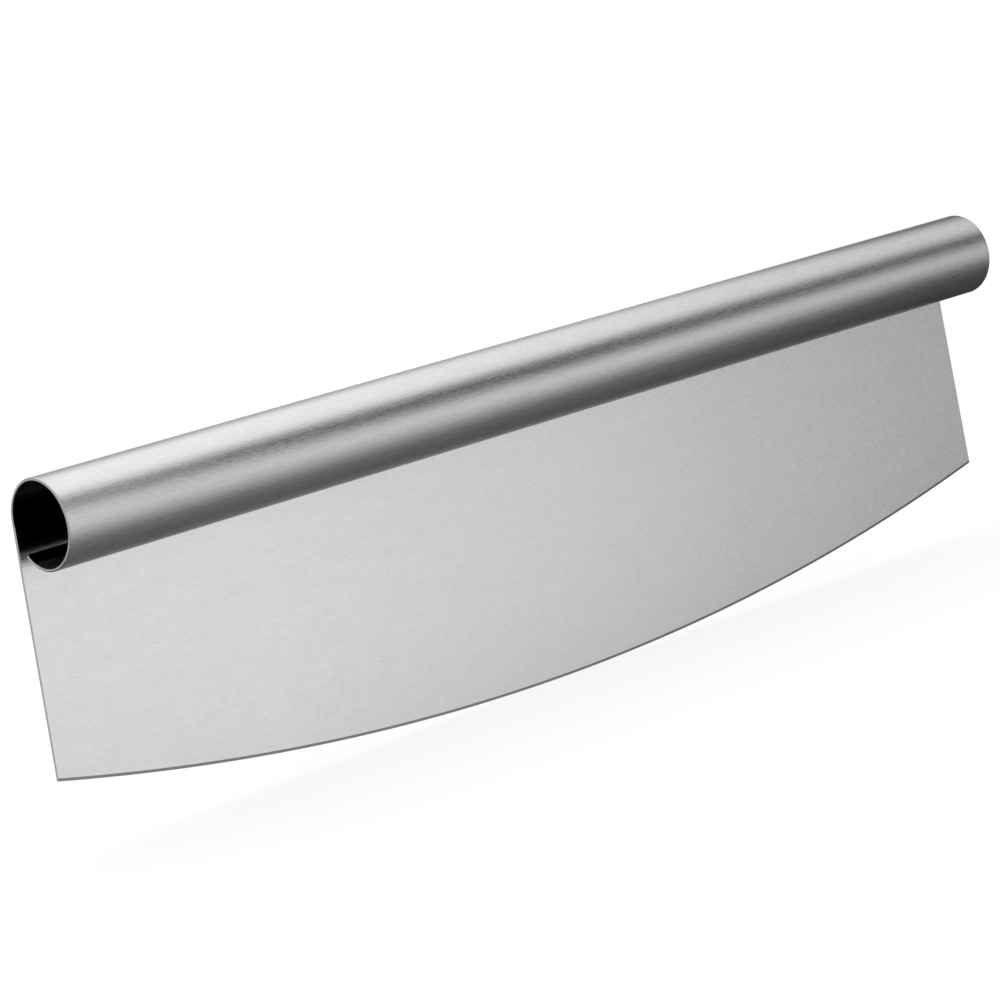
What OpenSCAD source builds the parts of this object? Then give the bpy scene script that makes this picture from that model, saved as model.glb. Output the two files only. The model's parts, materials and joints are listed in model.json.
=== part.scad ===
// Rocking knife for pizza, made of one piece of stainless steel sheet.
// The lower part of the sheet is the blade. The upper part is wound forwards into an open roll,
// which is the handle, and its free edge stops short of the blade.
// X runs along the handle, the roll is on the front, towards -Y, and Z is up.
// The origin is under the middle of the handle, level with the lowest point of the cutting edge.

/* [Knife] */
// Length of the handle, and of the blade where it leaves the handle
handle_len = 350; // [220:5:420]
// Height from the lowest point of the cutting edge to the top of the handle
knife_h = 97; // [80:1:130]

/* [Sheet] */
// Thickness of the steel sheet
sheet_t = 0.8; // [0.6:0.1:1.4]

/* [Handle] */
// Outer diameter of the roll
roll_d = 24; // [18:0.5:32]
// Angle in degrees that the sheet is wound through, from the blade to its free edge
roll_wrap = 318; // [280:1:330]
// Radius of the two corners of the free edge
lip_corner_r = 1; // [0.5:0.1:3]

/* [Blade] */
// Radius of the arc that the cutting edge follows
edge_r = 810; // [600:5:1200]
// How far each bottom corner stands out past the end of the handle
end_flare = 2; // [0:0.5:6]
// Height of the two ground bevels, measured up from the cutting edge
bevel_h = 0.8; // [0.4:0.1:3]
// Thickness that the bevels leave at the cutting edge
edge_t = 0.2; // [0.1:0.05:0.4]

/* [Hidden] */
$fn = 720;

// How far every cut runs past what it cuts
overrun = 2;

// The roll
roll_r = roll_d / 2;
bore_r = roll_r - sheet_t;
roll_axis_z = knife_h - roll_r;
lip_gap_angle = 360 - roll_wrap;
// Angle that one corner radius takes up along the middle of the sheet
lip_corner_angle = lip_corner_r / (roll_r - sheet_t / 2) * 180 / PI;

// The blade hangs from the back of the roll
blade_front_y = roll_r - sheet_t;
blade_mid_y = roll_r - sheet_t / 2;
half_len = handle_len / 2;
corner_x = half_len + end_flare;
corner_z = edge_r - sqrt(edge_r * edge_r - corner_x * corner_x);
flare_per_drop = end_flare / (roll_axis_z - corner_z);
bevel_slope = (sheet_t - edge_t) / 2 / bevel_h;

// Section of the roll across the handle: a ring without the gap between the free edge and the blade
module roll_section() {
    difference() {
        circle(r = roll_r);
        circle(r = bore_r);
        polygon([
            [0, 0],
            [roll_d * cos(lip_gap_angle), -roll_d * sin(lip_gap_angle)],
            [roll_d, 0]
        ]);
    }
}

// Section of the whole sheet across the handle, with the blade longer than the cutting edge needs
module sheet_section() {
    translate([0, roll_axis_z])
        roll_section();
    translate([blade_front_y, -overrun])
        square([sheet_t, roll_axis_z + overrun]);
}

// Outline seen from the front: straight ends at the handle, flared ends at the blade, an arc below
module front_outline() {
    bottom_x = half_len + flare_per_drop * (roll_axis_z + overrun);
    intersection() {
        polygon([
            [-half_len, knife_h + overrun],
            [half_len, knife_h + overrun],
            [half_len, roll_axis_z],
            [bottom_x, -overrun],
            [-bottom_x, -overrun],
            [-half_len, roll_axis_z]
        ]);
        translate([0, edge_r])
            circle(r = edge_r);
    }
}

// The bent sheet with square edges
module bent_sheet() {
    intersection() {
        rotate([90, 0, 90])
            linear_extrude(height = 2 * (corner_x + overrun), center = true)
                sheet_section();
        rotate([90, 0, 0])
            linear_extrude(height = 2 * (roll_r + overrun), center = true)
                front_outline();
    }
}

// What grinding takes off one face along the cutting edge, side -1 for the front and 1 for the back
module bevel_cut(side) {
    face_y = blade_mid_y + side * sheet_t / 2;
    outer_y = face_y + side * overrun;
    below_y = face_y - side * bevel_slope * (bevel_h + overrun);
    translate([0, 0, edge_r])
        rotate([-90, 0, 0])
            rotate_extrude()
                polygon([
                    [edge_r - bevel_h, face_y],
                    [edge_r - bevel_h, outer_y],
                    [edge_r + overrun, outer_y],
                    [edge_r + overrun, below_y]
                ]);
}

// What rounding takes off the free edge's corner at the +X end
module lip_corner_cut() {
    block = lip_corner_r + overrun;
    depth = sheet_t + 2 * overrun;
    translate([half_len - lip_corner_r, 0, roll_axis_z])
        rotate([roll_wrap - lip_corner_angle, 0, 0])
            translate([0, blade_mid_y, 0])
                difference() {
                    translate([0, -depth / 2, 0])
                        cube([block, depth, block]);
                    rotate([90, 0, 0])
                        cylinder(r = lip_corner_r, h = depth + overrun, center = true);
                }
}

// The knife: one sheet, bent, ground along its lower edge and rounded at its free corners
module rolled_blade() {
    color([0.77, 0.77, 0.76])
        difference() {
            bent_sheet();
            for (side = [-1, 1])
                bevel_cut(side);
            for (end = [0, 1])
                mirror([end, 0, 0])
                    lip_corner_cut();
        }
}

rolled_blade();
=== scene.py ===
import json
from math import atan2, cos, pi, radians, sin, sqrt

import bmesh
import bpy
from mathutils import Matrix, Vector


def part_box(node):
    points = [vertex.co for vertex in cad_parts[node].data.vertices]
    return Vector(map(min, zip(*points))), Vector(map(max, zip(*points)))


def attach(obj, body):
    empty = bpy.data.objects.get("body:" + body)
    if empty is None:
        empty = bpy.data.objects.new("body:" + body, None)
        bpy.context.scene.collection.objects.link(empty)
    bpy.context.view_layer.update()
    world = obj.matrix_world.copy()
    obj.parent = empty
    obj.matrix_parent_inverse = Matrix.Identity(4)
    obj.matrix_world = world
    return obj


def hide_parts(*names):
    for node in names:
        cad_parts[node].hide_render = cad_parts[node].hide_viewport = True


mm = 0.001
touch = 0.01 * mm  # points nearer than this are taken to lie on a face

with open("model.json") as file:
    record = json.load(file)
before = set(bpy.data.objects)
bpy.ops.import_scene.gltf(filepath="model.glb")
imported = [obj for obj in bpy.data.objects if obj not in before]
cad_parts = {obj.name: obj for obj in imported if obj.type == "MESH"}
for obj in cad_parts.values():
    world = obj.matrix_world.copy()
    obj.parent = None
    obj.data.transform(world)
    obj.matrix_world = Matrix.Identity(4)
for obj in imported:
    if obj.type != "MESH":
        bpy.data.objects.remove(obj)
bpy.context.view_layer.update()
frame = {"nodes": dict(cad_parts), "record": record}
print("frame loaded:", sorted(frame["nodes"]))

# The handle's bore and the box of the whole sheet give every main size
handleBore = next(m for m in frame["record"]["mounts"] if m["name"] == "handle_bore")
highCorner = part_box("rolled_blade")[1]
axisZ = handleBore["pos_m"][2]
boreRadius = handleBore["dims"]["r_mm"] * mm
halfLength = handleBore["dims"]["length_mm"] * mm / 2
rollRadius = highCorner.y
cornerX = highCorner.x
bladeFrontY = boreRadius
bladeMiddleY = (boreRadius + rollRadius) / 2


def hexToLinear(code):
    parts = [int(code[i:i + 2], 16) / 255 for i in (0, 2, 4)]
    return [c / 12.92 if c <= 0.04045 else ((c + 0.055) / 1.055) ** 2.4 for c in parts] + [1]


def addNode(tree, kind, settings=None, inputs=None):
    node = tree.nodes.new(kind)
    for name, value in (settings or {}).items():
        setattr(node, name, value)
    for socket, value in (inputs or {}).items():
        if isinstance(value, bpy.types.NodeSocket):
            tree.links.new(value, node.inputs[socket])
        else:
            node.inputs[socket].default_value = value
    return node


def newMaterial(name):
    material = bpy.data.materials.new(name)
    material.use_nodes = True
    material.node_tree.nodes.clear()
    return material, material.node_tree


def setStops(ramp, stops):
    # stops are pairs of a place from 0 to 1 and a grey level
    while len(ramp.elements) > 1:
        ramp.elements.remove(ramp.elements[-1])
    for i, (place, level) in enumerate(stops):
        stop = ramp.elements[0] if i == 0 else ramp.elements.new(place)
        stop.position = place
        stop.color = (level, level, level, 1)


# Camera

cameraView = {
    "place": (-0.71344, -0.78446, 0.21360),
    "aim": (-0.02569, 0, 0.05585),
    "roll": -10.304,  # degrees, the photo is taken with the camera leaning
    "lens": 139.77,
    "sensor": 36,
}


def makeCamera():
    data = bpy.data.cameras.new("photoCamera")
    data.lens = cameraView["lens"]
    data.sensor_width = cameraView["sensor"]
    camera = bpy.data.objects.new("photoCamera", data)
    place = Vector(cameraView["place"])
    forward = Vector(cameraView["aim"]) - place
    turn = forward.to_track_quat("-Z", "Y").to_matrix().to_4x4()
    roll = Matrix.Rotation(radians(cameraView["roll"]), 4, "Z")
    camera.matrix_world = Matrix.Translation(place) @ turn @ roll
    bpy.context.scene.collection.objects.link(camera)
    bpy.context.scene.camera = camera


makeCamera()
print("camera set")


# The sheet: roll, blade, ground edge

sheetShape = {
    "wrapAngle": 318,  # degrees from the blade round to the free edge
    "turnStep": 1.5,  # degrees for each facet of the roll
    "lipStep": 7.5,  # degrees, the last facet before the free edge, which its round corners fit in
    "lipCorner": 1.0 * mm,
    "lipCornerSteps": 8,
    "edgeRadius": 810 * mm,
    "groundHeight": 0.8 * mm,
    "groundThickness": 0.2 * mm,
    "groundReach": 1.1,  # what lies below this share of the ground height counts as ground
    "throatDepth": 10 * mm,  # the blade's top, behind the gap, in finer rows
    "throatRows": 8,
    "bladeRows": 12,
    "columns": 70,
    # rounding of the cut edges
    "outerBreak": 0.36 * mm,  # on the roll's outside and the blade's back
    "innerBreak": 0.16 * mm,  # inside the roll
    "frontBreak": 0.24 * mm,  # on the blade's front
    "creaseWidth": 0.6 * mm,  # the ground faces run out softly into the blade's faces
    "creaseAngle": 12,  # degrees, the least that tells this border
    "breakSteps": 3,
    "outlineAngle": 60,  # degrees, the least that tells an edge of the outline
    "sharpAngle": 10,  # degrees, the most that is shaded smooth
    "facing": 0.3,  # the least share of a normal that tells a cut face
    "paintedShadeFade": 3.5 * mm,  # height over which the blade's front passes into the painted shade of the roll
    "weld": 0.001 * mm,  # points nearer than this, where roundings meet, become one
}


def edgeHeight(x, radius):
    # height of the cutting edge's arc, or of the arc of another radius about the same centre
    return sheetShape["edgeRadius"] - sqrt(radius * radius - x * x)


def newest(result, kind):
    return [item for item in result["geom"] if isinstance(item, kind)]


def sweepSection(bm):
    # one short edge across the sheet, turned round the roll's axis and drawn down to the cutting edge
    first = [bm.verts.new((-halfLength, y, axisZ)) for y in (boreRadius, rollRadius)]
    tangent = bm.edges.new(first)
    wrap, step, lip = (sheetShape[k] for k in ("wrapAngle", "turnStep", "lipStep"))
    geom = first + [tangent]
    for angle, steps in ((wrap - lip, round((wrap - lip) / step)), (lip, 1)):
        turned = bmesh.ops.spin(bm, geom=geom, cent=(0, 0, axisZ), axis=(1, 0, 0),
                                angle=radians(angle), steps=steps, use_merge=False)
        geom = turned["geom_last"]
    depth, ground = sheetShape["throatDepth"], sheetShape["groundHeight"]
    throatRows, bladeRows = sheetShape["throatRows"], sheetShape["bladeRows"]
    drops = [depth / throatRows] * throatRows + [(axisZ - depth - ground) / bladeRows] * bladeRows + [ground]
    last = tangent
    for drop in drops:
        new = bmesh.ops.extrude_edge_only(bm, edges=[last])
        lower = newest(new, bmesh.types.BMVert)
        bmesh.ops.translate(bm, verts=lower, vec=(0, 0, -drop))
        last = next(e for e in newest(new, bmesh.types.BMEdge) if all(v in lower for v in e.verts))


def extrudeColumns(bm):
    solid = bmesh.ops.extrude_face_region(bm, geom=bm.faces[:])
    bmesh.ops.translate(bm, verts=newest(solid, bmesh.types.BMVert), vec=(2 * halfLength, 0, 0))
    along = [e for e in bm.edges if abs(e.verts[0].co.x - e.verts[1].co.x) > halfLength]
    bmesh.ops.subdivide_edges(bm, edges=along, cuts=sheetShape["columns"] - 1, use_grid_fill=True)
    bmesh.ops.recalc_face_normals(bm, faces=bm.faces)


def isBlade(point):
    return point.y > bladeFrontY - touch and point.z < axisZ + touch


def shapeBlade(bm):
    # ends flare out, rows settle on the arc, and the lowest row thins to the cutting edge
    radius, ground = sheetShape["edgeRadius"], sheetShape["groundHeight"]
    for v in bm.verts:
        if not isBlade(v.co):
            continue
        lowest = v.co.z < ground / 2
        share = 1 if lowest else (axisZ - v.co.z) / (axisZ - ground)
        across = v.co.x / halfLength
        v.co.x = across * (halfLength + (cornerX - halfLength) * share)
        floorZ = edgeHeight(across * cornerX, radius if lowest else radius - ground)
        v.co.z = axisZ - (axisZ - floorZ) * share
        if lowest:
            side = 1 if v.co.y > bladeMiddleY else -1
            v.co.y = bladeMiddleY + side * sheetShape["groundThickness"] / 2


def roundLipCorners(bm):
    lipAngle = radians(sheetShape["wrapAngle"])
    outward = Vector((0, cos(lipAngle), sin(lipAngle)))
    corners = []
    for e in bm.edges:
        a, b = (v.co - Vector((0, 0, axisZ)) for v in e.verts)
        atEnd = abs(abs(a.x) - halfLength) < touch and abs(a.x - b.x) < touch
        onLip = all((p - outward * p.dot(outward)).yz.length < touch for p in (a, b))
        if atEnd and onLip and a.dot(outward) > 0:
            corners.append(e)
    bmesh.ops.bevel(bm, geom=corners, offset=sheetShape["lipCorner"], affect="EDGES",
                    segments=sheetShape["lipCornerSteps"], profile=0.5, material=-1)


def isOuter(point):
    # on the roll's outside or the blade's back
    across = point.y if isBlade(point) else sqrt(point.y ** 2 + (point.z - axisZ) ** 2)
    return across > bladeMiddleY


def isGround(point):
    # at the ground edge or its upper border
    arc = edgeHeight(point.x, sheetShape["edgeRadius"])
    return isBlade(point) and point.z < arc + sheetShape["groundHeight"] * sheetShape["groundReach"]


def softenGroundBorder(bm):
    # the border on both sides, but not at the cutting edge itself
    least, most = (radians(sheetShape[name]) for name in ("creaseAngle", "outlineAngle"))
    border = [e for e in bm.edges
              if len(e.link_faces) == 2 and all(isGround(v.co) for v in e.verts)
              and least < e.calc_face_angle() < most]
    bmesh.ops.bevel(bm, geom=border, offset=sheetShape["creaseWidth"], affect="EDGES",
                    segments=sheetShape["breakSteps"], profile=0.5, material=-1)


def breakWidth(edge):
    # how wide an edge of the outline is rounded, or None between two widths and along the ground edge
    points = [v.co for v in edge.verts]
    if all(isGround(p) for p in points):
        return None
    if all(isOuter(p) for p in points):
        return "outerBreak"
    if any(isOuter(p) for p in points):
        return None
    return "frontBreak" if all(isBlade(p) for p in points) else "innerBreak"


def breakEdges(bm):
    # the cut outlines lose their burr
    rounded = []
    for name in ("outerBreak", "innerBreak", "frontBreak"):
        outline = [e for e in bm.edges
                   if len(e.link_faces) == 2 and e.calc_face_angle() > radians(sheetShape["outlineAngle"])
                   and breakWidth(e) == name]
        made = bmesh.ops.bevel(bm, geom=outline, offset=sheetShape[name], affect="EDGES",
                               segments=sheetShape["breakSteps"], profile=0.5, material=-1)
        rounded += made["faces"]
    return {f for f in rounded if f.is_valid}


def sortFaces(bm, rounded):
    # slot 0 is the brushed sheet, 1 its cut edges, 2 the ground edge
    lipAngle = radians(sheetShape["wrapAngle"])
    ahead = Vector((0, -sin(lipAngle), cos(lipAngle)))
    for f in bm.faces:
        centre = f.calc_center_median()
        f.smooth = True
        if f in rounded or abs(f.normal.x) > sheetShape["facing"]:
            f.material_index = 1
        elif isBlade(centre):
            f.material_index = 2 if isGround(centre) else 0
        elif centre.y > 0 and centre.z < axisZ and f.normal.dot(ahead) > sheetShape["facing"]:
            f.material_index = 1
        else:
            f.material_index = 0
    for e in bm.edges:
        if len(e.link_faces) == 2:
            onRounding = [f in rounded for f in e.link_faces]
            flat = e.calc_face_angle() < radians(sheetShape["sharpAngle"])
            e.smooth = all(onRounding) or (flat and not any(onRounding))


def unrollSheet(bm):
    # U runs across the grain, from the cutting edge up and round the roll, and V along it
    layer = bm.loops.layers.uv.new("sheet")
    for f in bm.faces:
        for corner in f.loops:
            p = corner.vert.co
            if isBlade(p):
                across = p.z - axisZ
            else:
                across = (atan2(p.z - axisZ, p.y) % (2 * pi)) * bladeMiddleY
            corner[layer].uv = (across, p.x)


def markInside(bm):
    # mask of the painted shade: 1 inside the roll, 0 outside, and a blend on the blade's front above the
    # free edge
    lipZ = axisZ + boreRadius * sin(radians(sheetShape["wrapAngle"]))
    layer = bm.verts.layers.float.new("inside")
    for v in bm.verts:
        if isOuter(v.co):
            v[layer] = 0
        elif isBlade(v.co):
            v[layer] = min(max((v.co.z - lipZ) / sheetShape["paintedShadeFade"], 0), 1)
        else:
            v[layer] = 1


def makeSheet():
    bm = bmesh.new()
    sweepSection(bm)
    extrudeColumns(bm)
    roundLipCorners(bm)
    shapeBlade(bm)
    softenGroundBorder(bm)
    rounded = breakEdges(bm)
    bmesh.ops.recalc_face_normals(bm, faces=bm.faces)
    sortFaces(bm, rounded)
    unrollSheet(bm)
    markInside(bm)
    bmesh.ops.remove_doubles(bm, verts=bm.verts[:], dist=sheetShape["weld"])
    mesh = bpy.data.meshes.new("bentSheet")
    bm.to_mesh(mesh)
    bm.free()
    piece = bpy.data.objects.new("bentSheet", mesh)
    bpy.context.scene.collection.objects.link(piece)
    return piece


bentSheet = makeSheet()
print("sheet made:", len(bentSheet.data.polygons), "faces")


# Finishes of the steel

steelFinish = {
    "paintedNearLightColour": "EAEAEA",  # painted light: the blade's near half is drawn in a lighter colour
    "colour": "D2D2D2",
    "paintedNearLightPlaces": (-0.105, 0.075),  # metres along the handle, the painted near light before and the plain colour after
    # painted shade: tone of the blade from the cutting edge up to the handle, darker towards the edge and
    # just under the handle, as shares of its height and of the colour
    "paintedHeightShades": ((0, 0.9), (0.12, 0.95), (0.3, 0.985), (0.5, 1), (0.75, 0.985), (0.92, 0.948), (1, 0.91)),
    "bladeRoughness": 0.19,
    "rollRoughness": 0.235,  # bending opens the grain a little
    "anisotropic": 0.75,
    "bendWidth": 4 * mm,  # distance over which the blade's finish passes into the roll's
    # painted shade: the roll's underside is drawn darker, with less of the bright blade mirrored in it,
    # mostly at the near end
    "paintedUndersideShade": 0.62,
    "paintedUndersideAngles": (225, 245),  # degrees round the roll from the blade
    "paintedUndersidePlaces": (-0.1, 0.16),  # metres along the handle
    # Layers of the grain: size along the handle and across it, and change of tone and of roughness.
    # Real scratches are about 0.05 mm wide, and are drawn coarser so that they show.
    "scratches": {"along": 3 * mm, "across": 0.28 * mm, "tone": 0.33, "roughness": 0.12},
    "rollScratches": {"along": 2.2 * mm, "across": 0.27 * mm, "tone": 0.28, "roughness": 0.12},
    "streaks": {"along": 40 * mm, "across": 0.7 * mm, "tone": 0.09, "roughness": 0.05},
    "clouds": {"along": 9 * mm, "across": 3 * mm, "tone": 0.09, "roughness": 0.02},
    "noise": {"Scale": 1, "Detail": 2, "Roughness": 0.5},
    "bladeBump": 0.025 * mm,
    "rollBump": 0.027 * mm,
    "paintedInsideShade": 0.05,  # painted shade: the inside of the roll is drawn almost black, as little light finds its way in
    "cutColour": "C6C6C6",
    "cutRoughness": 0.3,
    "cutBump": 0.02 * mm,  # also on the ground edge
    "shearMarks": {"along": 0.5 * mm, "across": 0.8 * mm, "tone": 0.25, "roughness": 0.15},
    "groundColour": "D8D8D8",
    "groundRoughness": 0.32,
    # the grinding wheel leaves fine lines across the edge, also drawn coarser
    "grindLines": {"along": 0.3 * mm, "across": 4 * mm, "tone": 0.3, "roughness": 0.15},
}


def grainLayer(tree, place, layer):
    along, across = 1 / layer["along"], 1 / layer["across"]
    scaled = addNode(tree, "ShaderNodeMapping", None, {"Vector": place, "Scale": (along, across, across)})
    noise = addNode(tree, "ShaderNodeTexNoise", None,
                    {"Vector": scaled.outputs["Vector"], **steelFinish["noise"]})
    return noise.outputs["Fac"]


def centred(tree, value):
    # noise from 0 to 1, moved to lie about 0
    return addNode(tree, "ShaderNodeMath", {"operation": "SUBTRACT"}, {0: value, 1: 0.5}).outputs["Value"]


def weighted(tree, layers, key, base):
    # base plus the share of every layer
    total = base
    for name, value in layers:
        total = addNode(tree, "ShaderNodeMath", {"operation": "MULTIPLY_ADD"},
                        {0: value, 1: steelFinish[name][key], 2: total}).outputs["Value"]
    return total


def blend(tree, share, start, end):
    mixed = addNode(tree, "ShaderNodeMix", {"data_type": "FLOAT"}, {"Factor": share, "A": start, "B": end})
    return mixed.outputs["Result"]


def brushedStainlessSteel():
    # belt-brushed lengthwise: light spreads across the grain into broad bands, and stays sharp along it
    material, tree = newMaterial("brushedStainlessSteel")
    place = addNode(tree, "ShaderNodeTexCoord")
    sheet = addNode(tree, "ShaderNodeUVMap", {"uv_map": "sheet"})
    across = addNode(tree, "ShaderNodeSeparateXYZ", None, {"Vector": sheet.outputs["UV"]})
    # 0 on the blade and 1 on the roll
    bend = addNode(tree, "ShaderNodeMapRange", None,
                   {"Value": across.outputs["X"], "From Min": -steelFinish["bendWidth"] / 2,
                    "From Max": steelFinish["bendWidth"] / 2}).outputs["Result"]
    heights = {name: grainLayer(tree, place.outputs["Object"], steelFinish[name])
               for name in ("scratches", "rollScratches", "streaks", "clouds")}
    scratchHeight = blend(tree, bend, heights["scratches"], heights["rollScratches"])
    layers = [("scratches", centred(tree, scratchHeight)), ("streaks", centred(tree, heights["streaks"])),
              ("clouds", centred(tree, heights["clouds"]))]
    rough = weighted(tree, layers, "roughness",
                     blend(tree, bend, steelFinish["bladeRoughness"], steelFinish["rollRoughness"]))
    bump = addNode(tree, "ShaderNodeBump", None,
                   {"Height": scratchHeight, "Strength": 1,
                    "Distance": blend(tree, bend, steelFinish["bladeBump"], steelFinish["rollBump"])})
    # painted light: the lighter near colour, on the blade alone
    start, end = steelFinish["paintedNearLightPlaces"]
    paintedNearLightShare = addNode(tree, "ShaderNodeMapRange", None,
                       {"Value": across.outputs["Y"], "From Min": start, "From Max": end,
                        "To Min": 1, "To Max": 0})
    onBlade = addNode(tree, "ShaderNodeMath", {"operation": "LESS_THAN"}, {0: across.outputs["X"], 1: 0})
    near = addNode(tree, "ShaderNodeMath", {"operation": "MULTIPLY"},
                   {0: paintedNearLightShare.outputs["Result"], 1: onBlade.outputs["Value"]})
    colour = addNode(tree, "ShaderNodeMix", {"data_type": "RGBA"},
                     {"Factor": near.outputs["Value"], 6: hexToLinear(steelFinish["colour"]),
                      7: hexToLinear(steelFinish["paintedNearLightColour"])})
    # painted shade: the blade darker towards the cutting edge and just under the handle
    height = addNode(tree, "ShaderNodeMapRange", None,
                     {"Value": across.outputs["X"], "From Min": -axisZ, "From Max": 0})
    paintedHeightShade = addNode(tree, "ShaderNodeValToRGB", None, {"Fac": height.outputs["Result"]})
    setStops(paintedHeightShade.color_ramp, steelFinish["paintedHeightShades"])
    paintedBladeShade = blend(tree, onBlade.outputs["Value"], 1, paintedHeightShade.outputs["Color"])
    # painted shade on the roll's underside, mostly at the near end
    start, end = steelFinish["paintedUndersidePlaces"]
    shade = addNode(tree, "ShaderNodeMapRange", None,
                    {"Value": across.outputs["Y"], "From Min": start, "From Max": end,
                     "To Min": 1 - steelFinish["paintedUndersideShade"], "To Max": 1})
    start, end = (radians(angle) * bladeMiddleY for angle in steelFinish["paintedUndersideAngles"])
    paintedRollShade = addNode(tree, "ShaderNodeMapRange", None,
                       {"Value": across.outputs["X"], "From Min": start, "From Max": end, "To Min": 1,
                        "To Max": shade.outputs["Result"]})
    # the painted shades of the blade and of the roll's underside together
    paintedOuterShade = addNode(tree, "ShaderNodeMath", {"operation": "MULTIPLY"},
                        {0: paintedBladeShade, 1: paintedRollShade.outputs["Result"]})
    # painted shade inside the roll, blended in by the inside mask
    inside = addNode(tree, "ShaderNodeAttribute", {"attribute_name": "inside"})
    tone = weighted(tree, layers, "tone", paintedOuterShade.outputs["Value"])
    tone = blend(tree, inside.outputs["Fac"], tone, steelFinish["paintedInsideShade"])
    toned = addNode(tree, "ShaderNodeVectorMath", {"operation": "SCALE"},
                    {"Vector": colour.outputs[2], "Scale": tone})
    tangent = addNode(tree, "ShaderNodeTangent", {"direction_type": "UV_MAP", "uv_map": "sheet"})
    steel = addNode(tree, "ShaderNodeBsdfPrincipled", None,
                    {"Base Color": toned.outputs["Vector"], "Metallic": 1,
                     "Roughness": rough, "Anisotropic": steelFinish["anisotropic"],
                     "Tangent": tangent.outputs["Tangent"], "Normal": bump.outputs["Normal"]})
    addNode(tree, "ShaderNodeOutputMaterial", None, {"Surface": steel.outputs["BSDF"]})
    return material


def plainSteel(name, colour, roughness, marks):
    # steel without the belt's grain, with marks of its own in tone, roughness and bump
    material, tree = newMaterial(name)
    place = addNode(tree, "ShaderNodeTexCoord")
    height = grainLayer(tree, place.outputs["Object"], steelFinish[marks])
    layers = [(marks, centred(tree, height))]
    toned = addNode(tree, "ShaderNodeVectorMath", {"operation": "SCALE"},
                    {"Vector": hexToLinear(steelFinish[colour])[:3],
                     "Scale": weighted(tree, layers, "tone", 1)})
    rough = weighted(tree, layers, "roughness", steelFinish[roughness])
    bump = addNode(tree, "ShaderNodeBump", None,
                   {"Height": height, "Distance": steelFinish["cutBump"], "Strength": 1})
    steel = addNode(tree, "ShaderNodeBsdfPrincipled", None,
                    {"Base Color": toned.outputs["Vector"], "Metallic": 1, "Roughness": rough,
                     "Normal": bump.outputs["Normal"]})
    addNode(tree, "ShaderNodeOutputMaterial", None, {"Surface": steel.outputs["BSDF"]})
    return material


finishes = (
    brushedStainlessSteel(),
    # blanked and deburred outline of the sheet: a dull grey, with faint marks of the shear
    plainSteel("cutSteelEdge", "cutColour", "cutRoughness", "shearMarks"),
    # cutting edge: smooth, with fine lines across it
    plainSteel("groundSteelEdge", "groundColour", "groundRoughness", "grindLines"),
)
for material in finishes:
    bentSheet.data.materials.append(material)
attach(bentSheet, "root")
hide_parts("rolled_blade")
print("steel finished")


# Floor and studio

studio = {
    "floorSize": 6,
    "floorColour": "F2F2F2",
    "floorGlow": 1.1,
    "floorWhite": 0.75,  # share of the plain white that the camera sees, and the rest keeps the shadow
    # Soft panels round the handle. Angles in degrees, 0 in front and 90 overhead. Levels and borders are
    # given at four places between the directions that the handle's near end and far end mirror, and
    # fromSoft and toSoft are the widths of the borders.
    "places": (0.57, 0.605, 0.70, 0.74),
    "panels": {
        "overhead": {"level": (1.27, 1.29, 0.98, 0.75), "from": (56, 58, 58, 55), "fromSoft": 27,
                     "to": (147, 149, 152, 126), "toSoft": 44},
        "inFront": {"level": (0.86, 0.78, 0.93, 0.69), "from": (-32, -40, -29, -18), "fromSoft": 45,
                    "to": (37, 18, 13, 25), "toSoft": 32},
        "below": {"level": (0.15, 0.18, 0.10, 0.02), "from": (-93, -93, -93, -93), "fromSoft": 70,
                  "to": (-32, -40, -29, -18), "toSoft": 45},
        "behindLow": {"level": (0.75, 0.75, 0.75, 0.75), "from": (-180, -180, -180, -180), "fromSoft": 1,
                      "to": (-158, -158, -158, -158), "toSoft": 12},
        "behindHigh": {"level": (0.75, 0.75, 0.75, 0.75), "from": (168, 168, 168, 168), "fromSoft": 15,
                       "to": (180, 180, 180, 180), "toSoft": 1},
    },
    "ambient": 0.044,
    # towards the left and the right the panels pass into one level, by a share or wholly
    "sides": (
        {"level": 0.42, "share": 0.6, "from": -0.45, "to": -0.65},
        {"level": 0.6, "share": 1, "from": -0.8, "to": -0.96},
        {"level": 0.03, "share": 1, "from": 0.78, "to": 0.98},
    ),
}


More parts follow.
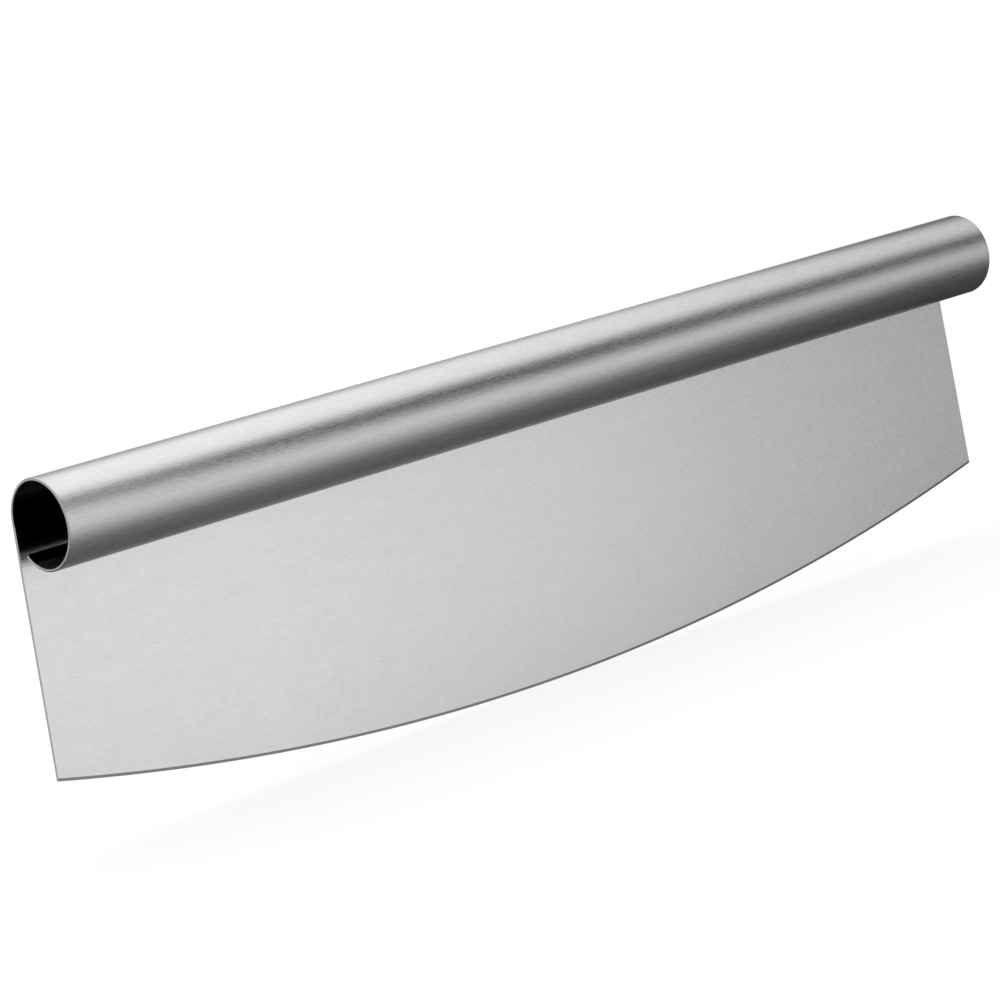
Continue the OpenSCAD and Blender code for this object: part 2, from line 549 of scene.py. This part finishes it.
def makeFloor():
    bm = bmesh.new()
    bmesh.ops.create_grid(bm, x_segments=1, y_segments=1, size=studio["floorSize"] / 2)
    mesh = bpy.data.meshes.new("floor")
    bm.to_mesh(mesh)
    bm.free()
    floor = bpy.data.objects.new("floor", mesh)
    bpy.context.scene.collection.objects.link(floor)
    material, tree = newMaterial("mattWhitePaper")
    rays = addNode(tree, "ShaderNodeLightPath")
    paper = addNode(tree, "ShaderNodeBsdfDiffuse", None, {"Color": hexToLinear(studio["floorColour"])})
    glow = addNode(tree, "ShaderNodeEmission", None, {"Strength": studio["floorGlow"]})
    # the camera sees white with a faint shadow
    seen = addNode(tree, "ShaderNodeMath", {"operation": "MULTIPLY"},
                   {0: rays.outputs["Is Camera Ray"], 1: studio["floorWhite"]})
    white = addNode(tree, "ShaderNodeMixShader", None,
                    {"Fac": seen.outputs["Value"], 1: paper.outputs["BSDF"], 2: glow.outputs["Emission"]})
    # mirror rays and shadow rays go through the floor, so the steel mirrors the panels on all sides
    clear = addNode(tree, "ShaderNodeBsdfTransparent")
    mirrored = addNode(tree, "ShaderNodeMath", {"operation": "MAXIMUM"},
                       {0: rays.outputs["Is Glossy Ray"], 1: rays.outputs["Is Transmission Ray"]})
    passed = addNode(tree, "ShaderNodeMath", {"operation": "MAXIMUM"},
                     {0: mirrored.outputs["Value"], 1: rays.outputs["Is Shadow Ray"]})
    surface = addNode(tree, "ShaderNodeMixShader", None,
                      {"Fac": passed.outputs["Value"], 1: white.outputs["Shader"], 2: clear.outputs["BSDF"]})
    addNode(tree, "ShaderNodeOutputMaterial", None, {"Surface": surface.outputs["Shader"]})
    mesh.materials.append(material)


def turnShare(angle):
    # full turns run from 0 to 1, and half a turn is straight in front
    return angle / 360 + 1 / 2


def alongHandle(tree, x, values):
    places = studio["places"]
    share = addNode(tree, "ShaderNodeMapRange", None,
                    {"Value": x, "From Min": places[0], "From Max": places[-1]})
    ramp = addNode(tree, "ShaderNodeValToRGB", None, {"Fac": share.outputs["Result"]})
    width = places[-1] - places[0]
    setStops(ramp.color_ramp, [((place - places[0]) / width, value) for place, value in zip(places, values)])
    return ramp.outputs["Color"]


def panelLevel(tree, turn, x, panel):
    level = alongHandle(tree, x, panel["level"])
    for side, near, far in (("from", 0, 1), ("to", 1, 0)):
        border = alongHandle(tree, x, [turnShare(angle) for angle in panel[side]])
        beyond = addNode(tree, "ShaderNodeMath", {"operation": "SUBTRACT"}, {0: turn, 1: border})
        half = panel[side + "Soft"] / 360 / 2
        edge = addNode(tree, "ShaderNodeMapRange", None,
                       {"Value": beyond.outputs["Value"], "From Min": -half, "From Max": half,
                        "To Min": near, "To Max": far})
        level = addNode(tree, "ShaderNodeMath", {"operation": "MULTIPLY"},
                        {0: level, 1: edge.outputs["Result"]}).outputs["Value"]
    return level


def makeStudio():
    world = bpy.data.worlds.new("studio")
    bpy.context.scene.world = world
    world.use_nodes = True
    tree = world.node_tree
    tree.nodes.clear()
    direction = addNode(tree, "ShaderNodeTexCoord")
    parts = addNode(tree, "ShaderNodeSeparateXYZ", None, {"Vector": direction.outputs["Generated"]})
    x = parts.outputs["X"]
    ahead = addNode(tree, "ShaderNodeMath", {"operation": "MULTIPLY"}, {0: parts.outputs["Y"], 1: -1})
    angle = addNode(tree, "ShaderNodeMath", {"operation": "ARCTAN2"},
                    {0: parts.outputs["Z"], 1: ahead.outputs["Value"]})
    turn = addNode(tree, "ShaderNodeMapRange", None,
                   {"Value": angle.outputs["Value"], "From Min": -pi, "From Max": pi})
    level = studio["ambient"]
    for panel in studio["panels"].values():
        level = addNode(tree, "ShaderNodeMath", {"operation": "ADD"},
                        {0: level, 1: panelLevel(tree, turn.outputs["Result"], x, panel)}).outputs["Value"]
    for side in studio["sides"]:
        share = addNode(tree, "ShaderNodeMapRange", None,
                        {"Value": x, "From Min": side["from"], "From Max": side["to"],
                         "To Max": side["share"]})
        level = blend(tree, share.outputs["Result"], level, side["level"])
    rays = addNode(tree, "ShaderNodeLightPath")
    strength = blend(tree, rays.outputs["Is Camera Ray"], level, 1)
    light = addNode(tree, "ShaderNodeBackground", None, {"Color": (1, 1, 1, 1), "Strength": strength})
    addNode(tree, "ShaderNodeOutputWorld", None, {"Surface": light.outputs["Background"]})


makeFloor()
makeStudio()
bpy.context.scene.view_settings.view_transform = "Standard"
print("studio lit")
